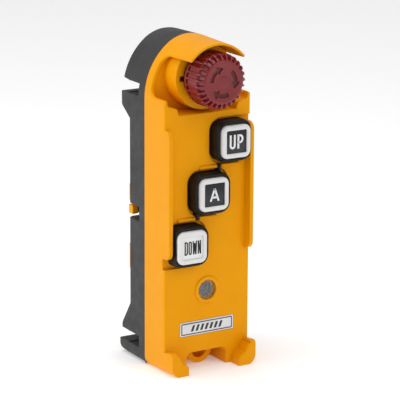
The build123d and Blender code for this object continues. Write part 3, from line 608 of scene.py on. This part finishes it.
def add_band(vertices, faces, left, right, closed):
    """Adds a band between two edge lines of (x, z) points, with a front, a back and side walls."""
    base = len(vertices)
    count = len(left)
    back = 2 * count
    for y in (LEGEND_FRONT_Y - PRINT_HEIGHT, LEGEND_FRONT_Y + PRINT_ROOT):
        vertices.extend((px, y, pz) for px, pz in left + right)
    for i in range(count if closed else count - 1):
        j = (i + 1) % count
        left_i, left_j = base + i, base + j
        right_i, right_j = left_i + count, left_j + count
        faces.append((left_i, left_j, right_j, right_i))
        faces.append((right_i + back, right_j + back, left_j + back, left_i + back))
        faces.append((left_i, left_i + back, left_j + back, left_j))
        faces.append((right_j, right_j + back, right_i + back, right_i))
    if not closed:
        for end in (base, base + count - 1):
            faces.append((end, end + count, end + count + back, end + back))


def make_letters(name, text, x, z, letter_width, gap, height, weight, widths=None):
    """Raised print on a legend: every letter is a set of flat bands with a little thickness."""
    sizes = [(widths or {}).get(letter, letter_width) for letter in text]
    pen_x = x - (sum(sizes) + gap * (len(text) - 1)) / 2
    foot_z = z - height / 2
    vertices, faces = [], []
    for letter, size in zip(text, sizes):
        closed = letter in CLOSED_LETTERS
        for line in letter_strokes(letter, size, height, weight):
            left, right = [
                [(pen_x + px, foot_z + min(max(pz, 0.0), height)) for px, pz in edge]
                for edge in stroke(line, weight, closed)
            ]
            add_band(vertices, faces, left, right, closed)
        pen_x += size + gap
    return mesh_object(name, vertices, faces, smooth=False, weld=False)


LETTERING = {
    "up": {"text": "UP", "letter_width": 3.75, "gap": 1.1, "height": 7.7, "weight": 1.15},
    "a": {"text": "A", "letter_width": 5.4, "gap": 0.0, "height": 7.2, "weight": 1.15},
    "down": {
        "text": "DOWN", "letter_width": 2.1, "gap": 0.35, "height": 7.4, "weight": 0.8,
        "widths": {"W": 2.9},
    },
}

for side, (x, z) in BUTTONS.items():
    boot = make_boot(f"boot_{side}", x, z)
    if side == "a":
        add_necks(boot)
    fit_to_frame(boot, "root", "black_rubber", replaces=f"button_boot_{side}")
    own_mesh(boot)

    body = f"button_{side}"
    cap = make_cap(f"cap_{side}", x, z)
    fit_to_frame(cap, body, "white_plastic", replaces=f"button_cap_{side}")

    legend_slot, ink = ("light_legend", "plate_ink") if side == "down" else ("dark_legend", "light_ink")
    insert = make_legend(f"insert_{side}", x, z)
    fit_to_frame(insert, body, legend_slot, replaces=f"legend_{side}")
    letters = make_letters(f"letters_{side}", x=x, z=z, **LETTERING[side])
    fit_to_frame(letters, body, legend_slot, material=ink)


# ================= emergency stop knob =================

FACE_R = 11.5
FACE_EDGE_R = FACE_R - 0.35
KNOB_R = 15.0
KNOB_FRONT_Y = -35.6
FACE_BACK_Y = KNOB_FRONT_Y + 1.5
KNOB_BACK_Y = -19.8
NOTCH_BACK_Y = -31.6
FLUTE_BACK_Y = -22.0
FLUTE_COUNT = 27
STEPS_PER_FLUTE = 16
FLUTE_SHARE = 0.74
FLUTE_WALL_SHARE = 0.2
HOLLOW_R = 12.7
HOLLOW_FRONT_Y = KNOB_BACK_Y - 8.9
HUB_R = 5.0
HUB_BACK_Y = KNOB_BACK_Y - 6.3
SHAFT_HOLE_R = 3.05
SHAFT_HOLE_FRONT_Y = KNOB_BACK_Y - 11.6

# (y, radius, depth of the flutes) from the face over the shoulder and the side into the hollow back
KNOB_STATIONS = (
    (KNOB_FRONT_Y, FACE_EDGE_R, 0.0),
    (KNOB_FRONT_Y + 0.08, FACE_R - 0.10, 0.0),
    (KNOB_FRONT_Y + 0.30, FACE_R + 0.08, 0.0),
    (KNOB_FRONT_Y + 0.34, FACE_R + 0.50, 0.45),
    (KNOB_FRONT_Y + 0.62, FACE_R + 1.20, 1.15),
    (KNOB_FRONT_Y + 1.10, FACE_R + 2.00, 1.90),
    (KNOB_FRONT_Y + 1.85, FACE_R + 2.75, 2.3),
    (KNOB_FRONT_Y + 2.75, FACE_R + 3.25, 2.3),
    (NOTCH_BACK_Y - 0.30, KNOB_R, 2.1),
    (NOTCH_BACK_Y - 0.05, KNOB_R, 0.5),
    (NOTCH_BACK_Y + 2.5, KNOB_R, 0.42),
    (NOTCH_BACK_Y + 6.0, KNOB_R, 0.42),
    (FLUTE_BACK_Y - 1.2, KNOB_R, 0.45),
    (FLUTE_BACK_Y - 1.1, KNOB_R, 1.0),
    (FLUTE_BACK_Y - 0.1, KNOB_R, 1.0),
    (FLUTE_BACK_Y, KNOB_R, 0.0),
    (KNOB_BACK_Y - 0.5, KNOB_R, 0.0),
    (KNOB_BACK_Y - 0.12, KNOB_R - 0.12, 0.0),
    (KNOB_BACK_Y, KNOB_R - 0.45, 0.0),
    (KNOB_BACK_Y, HOLLOW_R, 0.0),
    (HOLLOW_FRONT_Y, HOLLOW_R, 0.0),
    (HOLLOW_FRONT_Y, HUB_R, 0.0),
    (HUB_BACK_Y, HUB_R, 0.0),
    (HUB_BACK_Y, SHAFT_HOLE_R, 0.0),
    (SHAFT_HOLE_FRONT_Y, SHAFT_HOLE_R, 0.0),
)


def flute(angle):
    """1 in a flute, 0 on the narrower ribs between, with steep walls."""
    turn = (angle * FLUTE_COUNT / (2 * math.pi)) % 1.0
    distance = abs(turn - 0.5) * 2
    return min(1.0, max(0.0, (FLUTE_SHARE - distance) / FLUTE_WALL_SHARE))


def knob_side_rings():
    """Rings from the rim of the face to the bottom of the shaft hole in the back."""
    count = FLUTE_COUNT * STEPS_PER_FLUTE
    rings = []
    for y, radius, depth in KNOB_STATIONS:
        ring = []
        for i in range(count):
            angle = 2 * math.pi * i / count
            r = radius - depth * flute(angle)
            ring.append((r * math.cos(angle), y, STOP_Z + r * math.sin(angle)))
        rings.append(ring)
    return rings


DISH_DEPTH = 0.45
DISH_R = 10.4
PIP_HEIGHT = 0.18
PIP_R = 3.4


def face_depth(x, z):
    """Depth of the face behind its flat rim: a broad shallow dish with a small flat middle."""
    r = math.hypot(x, z)
    dish = DISH_DEPTH * max(0.0, 1 - (r / DISH_R) ** 2)
    pip = PIP_HEIGHT * max(0.0, 1 - (r / PIP_R) ** 4)
    return dish - pip


ARROW_R = 7.3
ARROW_HALF = 1.0
ARROW_HEAD_DEGREES = 28.0
ARROW_HEAD_HALF = 2.4
ARROW_DEPTH = 0.6
ARROW_SPANS = ((176, 92), (48, -30), (-66, -146))


def in_arrow(x, z):
    """True inside one of the three curved turning arrows, each a band with a tapered head."""
    r = math.hypot(x, z)
    angle = math.degrees(math.atan2(z, x))
    for start, stop in ARROW_SPANS:
        along = (start - angle) % 360
        left_over = start - stop - along
        if left_over >= ARROW_HEAD_DEGREES:
            half_width = ARROW_HALF
        else:
            half_width = ARROW_HEAD_HALF * left_over / ARROW_HEAD_DEGREES
        if abs(r - ARROW_R) < half_width:
            return True
    return False


FACE_RING_COUNT = 76


def knob_face_rings(count):
    """Rings of the face from the rim to the centre, fine enough to engrave the arrows into."""
    rings = []
    for k in range(1, FACE_RING_COUNT):
        radius = FACE_EDGE_R * (1 - k / FACE_RING_COUNT)
        ring = []
        for i in range(count):
            angle = 2 * math.pi * i / count
            u, v = radius * math.cos(angle), radius * math.sin(angle)
            depth = face_depth(u, v) + (ARROW_DEPTH if in_arrow(u, v) else 0.0)
            ring.append((u, KNOB_FRONT_Y + depth, STOP_Z + v))
        rings.append(ring)
    return rings


def paint_arrow_shade(knob):
    """Gives the faces inside the arrows a second, darker red material: painted shade in the engraved
    arrows.
    """
    knob.data.materials.append(MATERIALS["red_arrow_painted_shade"])
    for polygon in knob.data.polygons:
        middle = polygon.center / MM
        if middle.y < FACE_BACK_Y and in_arrow(middle.x, middle.z - STOP_Z):
            polygon.material_index = 1


side_rings = knob_side_rings()
face_rings = knob_face_rings(len(side_rings[0]))
knob = lofted("knob", list(reversed(face_rings)) + side_rings)
sharpen(knob, degrees=38)
fit_to_frame(knob, "estop_head", "red_plastic", replaces="estop_knob")
# painted shade: the faces inside the engraved arrows get the darker red
paint_arrow_shade(knob)


# ================= spring under the stop knob =================

SPRING_R = 7.6
SPRING_WIRE_R = 0.45
SPRING_PITCH = 2.9
SPRING_LENGTH = 12.0
SPRING_FRONT_Y = -28.1


def make_spring(name, steps_per_turn=40, wire_steps=10):
    """Round wire wound about the button's axis, between the knob and its seat."""
    turns = SPRING_LENGTH / SPRING_PITCH
    count = round(turns * steps_per_turn)
    rings = []
    for i in range(count + 1):
        angle = 2 * math.pi * turns * i / count
        y = SPRING_FRONT_Y + SPRING_LENGTH * i / count
        ring = []
        for j in range(wire_steps):
            around = 2 * math.pi * j / wire_steps
            r = SPRING_R + SPRING_WIRE_R * math.cos(around)
            wire_y = y + SPRING_WIRE_R * math.sin(around)
            ring.append((r * math.cos(angle), wire_y, STOP_Z + r * math.sin(angle)))
        rings.append(ring)
    return lofted(name, rings, smooth=False)


spring = make_spring("stop_spring")
fit_to_frame(spring, "root", "steel", replaces="estop_spring")
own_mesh(spring)


# ================= status light window =================

# (radius, y) from the rim of the back over the edge to the middle of the front
LENS_PROFILE = (
    (5.4, -17.05),
    (5.4, -18.9),
    (5.32, -19.2),
    (5.1, -19.42),
    (4.7, -19.5),
    (4.2, -19.3),
    (3.9, -19.24),
    (2.6, -19.5),
    (1.2, -19.68),
    (0.3, -19.72),
)
LENS_STEPS = 64


def make_lens(name):
    """Round window with a raised rim, a shallow groove and a domed middle."""
    rings = []
    for radius, y in LENS_PROFILE:
        ring = []
        for i in range(LENS_STEPS):
            angle = 2 * math.pi * i / LENS_STEPS
            ring.append((radius * math.cos(angle), y, LED_Z + radius * math.sin(angle)))
        rings.append(ring)
    lens = lofted(name, rings)
    sharpen(lens)
    return lens


fit_to_frame(make_lens("lens"), "root", "clear_lens", replaces="led_window")


# ================= nameplate =================

PLATE_WIDTH = 33.8
PLATE_HEIGHT = 7.9
PLATE_CORNER_R = 0.4
PLATE_FRONT_Y = -20.1

# (inset from the plate's edge, y) from the back to the front
PLATE_PROFILE = (
    (0.05, PLATE_FRONT_Y + 0.58),
    (0.0, PLATE_FRONT_Y + 0.5),
    (0.0, PLATE_FRONT_Y + 0.08),
    (0.12, PLATE_FRONT_Y),
)

BORDER_WIDTH = 32.2
BORDER_HEIGHT = 6.5
BORDER_LINE = 0.55
BORDER_OUTER_R = 0.7
BORDER_INNER_R = 0.15

BAR_COUNT = 7
BAR_PITCH = 2.9
BAR_WIDTH = 1.5
BAR_HEIGHT = 3.4
BAR_SLANT = 1.3

INK_FRONT_Y = PLATE_FRONT_Y - 0.03


def make_plate(name):
    """Thin plate with a slightly rounded rim."""
    layers = []
    for inset, y in PLATE_PROFILE:
        width, height = PLATE_WIDTH - 2 * inset, PLATE_HEIGHT - 2 * inset
        layers.append((rounded_rectangle(width, height, PLATE_CORNER_R, steps=4), y))
    plate = layered(name, layers, 0, PLATE_Z)
    sharpen(plate)
    return plate


def make_border(name):
    """Thin printed line round the plate."""
    outer = rounded_rectangle(BORDER_WIDTH, BORDER_HEIGHT, BORDER_OUTER_R, steps=4)
    inner_width, inner_height = BORDER_WIDTH - 2 * BORDER_LINE, BORDER_HEIGHT - 2 * BORDER_LINE
    inner = rounded_rectangle(inner_width, inner_height, BORDER_INNER_R, steps=4)
    root_y = PLATE_FRONT_Y + 0.04
    layers = [
        (outer, root_y),
        (outer, INK_FRONT_Y),
        (inner, INK_FRONT_Y),
        (inner, root_y),
        (outer, root_y),
    ]
    return layered(name, layers, 0, PLATE_Z, cap_ends=False, smooth=False)


def make_bars(name):
    """Neutral print in the middle of the plate: a row of slanted bars."""
    vertices, faces = [], []
    low, high = -BAR_HEIGHT / 2, BAR_HEIGHT / 2
    for k in range(BAR_COUNT):
        left = (k - (BAR_COUNT - 1) / 2) * BAR_PITCH - BAR_WIDTH / 2
        low_x, high_x = left - BAR_SLANT / 2, left + BAR_SLANT / 2
        corners = ((low_x, low), (low_x + BAR_WIDTH, low), (high_x + BAR_WIDTH, high), (high_x, high))
        base = len(vertices)
        for y in (INK_FRONT_Y, PLATE_FRONT_Y + 0.02):
            vertices.extend((u, y, PLATE_Z + v) for u, v in corners)
        faces.append((base, base + 1, base + 2, base + 3))
        faces.append((base + 7, base + 6, base + 5, base + 4))
        for i in range(4):
            j = (i + 1) % 4
            faces.append((base + i, base + 4 + i, base + 4 + j, base + j))
    return mesh_object(name, vertices, faces, smooth=False)


fit_to_frame(make_plate("plate"), "root", "plate_metal", replaces="nameplate")
fit_to_frame(make_bars("plate_pattern"), "root", "plate_metal", material="plate_ink")
fit_to_frame(make_border("plate_border"), "root", "plate_metal", material="plate_ink")


# ================= room, floor and lights =================

# Studio light from all round: an even part, plus a soft lobe that is strongest in each direction.
EVEN_LIGHT = 0.38
LOBES = {"left": ((-1, 0, 0), 0.10), "top": ((0, 0, 1), 0.34), "right": ((1, 0, 0), 0.12)}


def make_room():
    """World shader: the sum of the even light and the lobes."""
    world = bpy.data.worlds.new("studio")
    world.use_nodes = True
    tree = world.node_tree
    direction = tree.nodes.new("ShaderNodeTexCoord").outputs["Generated"]
    total = add_node(tree, "ShaderNodeValue").outputs[0]
    total.default_value = EVEN_LIGHT
    for axis, strength in LOBES.values():
        dot = add_node(tree, "ShaderNodeVectorMath", operation="DOT_PRODUCT")
        dot.inputs[1].default_value = axis
        tree.links.new(direction, dot.inputs[0])
        lobe = add_node(tree, "ShaderNodeMath", operation="MAXIMUM")
        tree.links.new(dot.outputs["Value"], lobe.inputs[0])
        lobe.inputs[1].default_value = 0.0
        share = add_node(tree, "ShaderNodeMath", operation="MULTIPLY_ADD")
        tree.links.new(lobe.outputs["Value"], share.inputs[0])
        share.inputs[1].default_value = strength
        tree.links.new(total, share.inputs[2])
        total = share.outputs["Value"]
    background = tree.nodes["Background"]
    background.inputs["Color"].default_value = (1, 1, 1, 1)
    tree.links.new(total, background.inputs["Strength"])
    bpy.context.scene.world = world


FLOOR_HALF = 6.0


def make_floor():
    """Large plain pale floor under the object."""
    corners = [(u * FLOOR_HALF, v * FLOOR_HALF, 0) for u, v in ((-1, -1), (1, -1), (1, 1), (-1, 1))]
    mesh = bpy.data.meshes.new("floor")
    mesh.from_pydata(corners, [], [(0, 1, 2, 3)])
    mesh.materials.append(surface(
        "floor_white", (0.95, 0.95, 0.95, 1), (0.93, 0.93, 0.93, 1), roughness=(0.7, 0.8),
        mottle=0.3, mottle_scale=3.0, grain_scale=300, grain_depth=0.01, edge_radius=0.0,
        specular=0.2, glow=0.2,
    ))
    floor = bpy.data.objects.new("floor", mesh)
    bpy.context.scene.collection.objects.link(floor)


LIGHT_AIM = (0.0, 0.0, 0.09)


def soft_box(name, place, size, power):
    """Rectangular area light aimed at the middle of the object."""
    light = bpy.data.lights.new(name, "AREA")
    light.shape = "RECTANGLE"
    light.size, light.size_y = size
    light.energy = power
    box = bpy.data.objects.new(name, light)
    box.location = place
    box.rotation_euler = (Vector(LIGHT_AIM) - Vector(place)).to_track_quat("-Z", "Y").to_euler()
    bpy.context.scene.collection.objects.link(box)


make_room()
make_floor()
soft_box("key", (0.35, -0.75, 0.75), (0.5, 0.5), 1.7)
soft_box("left", (-0.9, 0.22, 0.4), (0.5, 0.8), 2.6)
soft_box("top", (-0.15, 0.1, 1.0), (0.6, 0.6), 2.6)


# ================= camera =================

CAMERA_PLACE = (-0.5757, -0.9568, 0.3756)
CAMERA_TURN = math.radians(31.364)
CAMERA_TILT = math.radians(14.374)
CAMERA_ROLL = math.radians(0.309)
CAMERA_LENS = 191.0
CAMERA_SENSOR = 36.0


def make_camera():
    """Camera turned to the left of the front, looking slightly down."""
    back = Vector((
        -math.sin(CAMERA_TURN) * math.cos(CAMERA_TILT),
        -math.cos(CAMERA_TURN) * math.cos(CAMERA_TILT),
        math.sin(CAMERA_TILT),
    ))
    level_right = Vector((math.cos(CAMERA_TURN), -math.sin(CAMERA_TURN), 0))
    level_up = back.cross(level_right)
    right = level_right * math.cos(CAMERA_ROLL) + level_up * math.sin(CAMERA_ROLL)
    up = level_up * math.cos(CAMERA_ROLL) - level_right * math.sin(CAMERA_ROLL)
    settings = bpy.data.cameras.new("camera")
    settings.lens = CAMERA_LENS
    settings.sensor_width = CAMERA_SENSOR
    camera = bpy.data.objects.new("camera", settings)
    camera.matrix_world = Matrix((
        (right.x, up.x, back.x, CAMERA_PLACE[0]),
        (right.y, up.y, back.y, CAMERA_PLACE[1]),
        (right.z, up.z, back.z, CAMERA_PLACE[2]),
        (0, 0, 0, 1),
    ))
    bpy.context.scene.collection.objects.link(camera)
    return camera


bpy.context.scene.camera = make_camera()
bpy.context.scene.view_settings.view_transform = "Standard"
